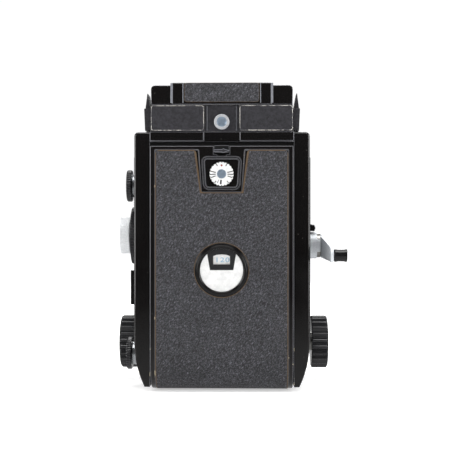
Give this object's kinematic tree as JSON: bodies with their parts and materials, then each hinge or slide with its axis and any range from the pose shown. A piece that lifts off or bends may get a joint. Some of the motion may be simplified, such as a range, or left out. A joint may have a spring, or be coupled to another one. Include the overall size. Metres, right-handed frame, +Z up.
{
  "type": "twin lens reflex camera",
  "caption": "Black twin lens reflex film camera with interchangeable lens unit, bellows focusing, folding hood, side crank and a leather-covered hinged back.",
  "frame": {"origin": "mouth of the tripod socket in the base", "axes": "+Z up, +Y along the lenses away from the viewer, +X to the viewer's right"},
  "size_m": [0.1292, 0.1152, 0.1685],
  "materials": {
    "black_casting": "matt black painted alloy casting",
    "black_enamel": "glossy black enamel worn at the edges",
    "leatherette": "pebbled black leatherette",
    "mirror": "front-silvered mirror",
    "ground_glass": "ground glass",
    "bright_steel": "bright steel",
    "matt_black": "matt black paint",
    "chrome": "satin chrome",
    "glass": "coated optical glass",
    "white_plastic": "ivory white plastic",
    "brass": "machined brass",
    "black_plastic": "glossy black plastic",
    "bellows_cloth": "black bellows cloth",
    "lens_black": "satin black lens barrel",
    "ring_metal": "satin grey ring"
  },
  "bodies": {
    "body": {"main_casting": "black_casting", "left_side_cover": "black_enamel", "right_side_cover": "black_enamel", "side_leathers": "leatherette", "base_plate": "black_enamel", "top_deck": "black_enamel", "reflex_mirror": "mirror", "focusing_screen": "ground_glass", "counter_housing": "black_enamel", "flash_shoe": "black_enamel", "body_fasteners": "bright_steel", "finder_base": "matt_black"},
    "finder_button": {"finder_button": "chrome"},
    "hood_lid": {"hood_lid": "black_enamel", "magnifier_holder": "matt_black", "magnifier_lens": "glass"},
    "hood_left_flap": {"hood_left_flap": "matt_black"},
    "hood_right_flap": {"hood_right_flap": "matt_black"},
    "hood_rear_flap": {"hood_rear_flap": "matt_black"},
    "back": {"back_door": "black_enamel", "back_leather": "leatherette", "memo_frame": "black_enamel", "window_ring": "black_enamel", "window_face": "white_plastic", "pressure_spring": "bright_steel"},
    "memo_dial": {"memo_dial": "white_plastic"},
    "pressure_plate": {"pressure_plate": "matt_black", "format_disc": "white_plastic"},
    "door_catch": {"door_catch": "black_enamel"},
    "takeup_knob": {"takeup_knob": "black_enamel", "takeup_pin": "bright_steel"},
    "supply_knob": {"supply_knob": "black_enamel", "supply_pin": "bright_steel"},
    "lens_lock_wheel": {"lens_lock_wheel": "black_enamel"},
    "selector_dial": {"selector_dial": "chrome"},
    "light_baffle": {"light_baffle": "matt_black"},
    "crank": {"crank_arm": "chrome", "crank_gear": "brass"},
    "crank_handle": {"crank_handle": "black_plastic"},
    "takeup": {"takeup_drive": "brass", "takeup_spool": "black_plastic"},
    "counter_dial": {"counter_dial": "white_plastic"},
    "upper_roller": {"upper_roller": "bright_steel"},
    "lower_roller": {"lower_roller": "bright_steel"},
    "shutter_button": {"shutter_button": "chrome"},
    "release_lock": {"release_lock": "black_enamel"},
    "focus_shaft": {"focus_shaft": "bright_steel", "focus_knobs": "black_plastic"},
    "front_standard": {"focus_racks": "bright_steel", "front_standard": "black_casting", "bellows": "bellows_cloth", "lens_board": "black_casting", "viewing_barrel": "lens_black", "viewing_glass": "glass", "shutter_housing": "lens_black", "taking_glass": "glass"},
    "lens_wire": {"lens_wire": "chrome"},
    "speed_ring": {"speed_ring": "ring_metal"},
    "aperture_ring": {"aperture_ring": "lens_black"},
    "cocking_lever": {"cocking_lever": "chrome"}
  },
  "joints": [
    {"name": "back_hinge", "type": "hinge", "parent": "body", "child": "back", "pos_m": [0, -0.036, 0.0021], "axis": [1, 0, 0], "range_deg": [0, 100]},
    {"name": "door_catch_slide", "type": "slide", "parent": "back", "child": "door_catch", "axis": [0, 0, -1], "range_m": [0, 0.0012], "stiffness_N_per_m": 300},
    {"name": "memo_dial_turn", "type": "hinge", "parent": "back", "child": "memo_dial", "pos_m": [0, -0.0575, 0.1186], "axis": [0, 1, 0], "continuous": true},
    {"name": "format_disc_turn", "type": "hinge", "parent": "back", "child": "pressure_plate", "pos_m": [0, -0.05, 0.0666], "axis": [0, 1, 0], "range_deg": [0, 90]},
    {"name": "hood_open", "type": "hinge", "parent": "body", "child": "hood_lid", "pos_m": [0, 0.0165, 0.1575], "axis": [-1, 0, 0], "range_deg": [0, 90]},
    {"name": "hood_rear_flap_open", "type": "hinge", "parent": "body", "child": "hood_rear_flap", "pos_m": [0, -0.049, 0.1526], "axis": [1, 0, 0], "range_deg": [0, 90]},
    {"name": "hood_right_flap_open", "type": "hinge", "parent": "body", "child": "hood_right_flap", "pos_m": [0.035, 0, 0.15], "axis": [0, 1, 0], "range_deg": [0, 90]},
    {"name": "hood_left_flap_open", "type": "hinge", "parent": "body", "child": "hood_left_flap", "pos_m": [-0.035, 0, 0.15], "axis": [0, -1, 0], "range_deg": [0, 90]},
    {"name": "finder_button_press", "type": "slide", "parent": "body", "child": "finder_button", "axis": [0, 1, 0], "range_m": [0, 0.002], "stiffness_N_per_m": 400},
    {"name": "takeup_knob_pull", "type": "slide", "parent": "body", "child": "takeup_knob", "axis": [-1, 0, 0], "range_m": [0, 0.006], "stiffness_N_per_m": 500},
    {"name": "supply_knob_pull", "type": "slide", "parent": "body", "child": "supply_knob", "axis": [-1, 0, 0], "range_m": [0, 0.006], "stiffness_N_per_m": 500},
    {"name": "lens_lock_turn", "type": "hinge", "parent": "body", "child": "lens_lock_wheel", "pos_m": [-0.05, -0.017, 0.085], "axis": [1, 0, 0], "range_deg": [0, 90]},
    {"name": "selector_turn", "type": "hinge", "parent": "lens_lock_wheel", "child": "selector_dial", "pos_m": [-0.056, -0.017, 0.085], "axis": [1, 0, 0], "range_deg": [0, 120]},
    {"name": "light_baffle_swing", "type": "hinge", "parent": "body", "child": "light_baffle", "pos_m": [0, 0.002, 0.0402], "axis": [-1, 0, 0], "range_deg": [0, 90]},
    {"name": "crank_turn", "type": "hinge", "parent": "body", "child": "crank", "pos_m": [0.05, -0.027, 0.07952], "axis": [1, 0, 0], "range_deg": [0, 360]},
    {"name": "crank_handle_spin", "type": "hinge", "parent": "crank", "child": "crank_handle", "pos_m": [0.064, -0.05301, 0.07447], "axis": [1, 0, 0], "continuous": true},
    {"name": "takeup_spin", "type": "hinge", "parent": "body", "child": "takeup", "pos_m": [0, -0.034, 0.113], "axis": [1, 0, 0], "range_deg": [-600, 10]},
    {"name": "counter_dial_turn", "type": "hinge", "parent": "body", "child": "counter_dial", "pos_m": [0.0455, -0.027, 0.09572], "axis": [1, 0, 0], "range_deg": [0, 30.5]},
    {"name": "upper_roller_spin", "type": "hinge", "parent": "body", "child": "upper_roller", "pos_m": [0, -0.0474, 0.0976], "axis": [1, 0, 0], "continuous": true},
    {"name": "lower_roller_spin", "type": "hinge", "parent": "body", "child": "lower_roller", "pos_m": [0, -0.0474, 0.0344], "axis": [1, 0, 0], "continuous": true},
    {"name": "shutter_press", "type": "slide", "parent": "body", "child": "shutter_button", "axis": [0, -1, 0], "range_m": [0, 0.003], "stiffness_N_per_m": 300},
    {"name": "release_lock_turn", "type": "hinge", "parent": "body", "child": "release_lock", "pos_m": [0.029, 0.0198, 0.013], "axis": [0, 1, 0], "range_deg": [0, 90]},
    {"name": "focus_travel", "type": "slide", "parent": "body", "child": "front_standard", "axis": [0, 1, 0], "range_m": [0, 0.052], "deforming": ["bellows"]},
    {"name": "focus_knob_turn", "type": "hinge", "parent": "body", "child": "focus_shaft", "pos_m": [0, 0.006, 0.0217], "axis": [1, 0, 0], "range_deg": [-470, 5]},
    {"name": "lens_wire_swing", "type": "hinge", "parent": "front_standard", "child": "lens_wire", "pos_m": [0, 0.0294, 0.032], "axis": [-1, 0, 0], "range_deg": [0, 90]},
    {"name": "shutter_speed_turn", "type": "hinge", "parent": "front_standard", "child": "speed_ring", "pos_m": [0, 0.033, 0.066], "axis": [0, 1, 0], "range_deg": [0, 100]},
    {"name": "aperture_turn", "type": "hinge", "parent": "front_standard", "child": "aperture_ring", "pos_m": [0, 0.0377, 0.066], "axis": [0, 1, 0], "range_deg": [0, 60]},
    {"name": "shutter_cock", "type": "hinge", "parent": "front_standard", "child": "cocking_lever", "pos_m": [0, 0.0413, 0.066], "axis": [0, 1, 0], "range_deg": [0, 50]}
  ],
  "couplings": [
    {"joint": "hood_rear_flap_open", "follows": "hood_open", "ratio": 1},
    {"joint": "hood_right_flap_open", "follows": "hood_open", "ratio": 1},
    {"joint": "hood_left_flap_open", "follows": "hood_open", "ratio": 1},
    {"joint": "light_baffle_swing", "follows": "lens_lock_turn", "ratio": 1},
    {"joint": "takeup_spin", "follows": "crank_turn", "ratio": -1.5909},
    {"joint": "counter_dial_turn", "follows": "crank_turn", "ratio": 0.083333},
    {"joint": "focus_knob_turn", "follows": "focus_travel", "rad_per_m": -153.85}
  ]
}
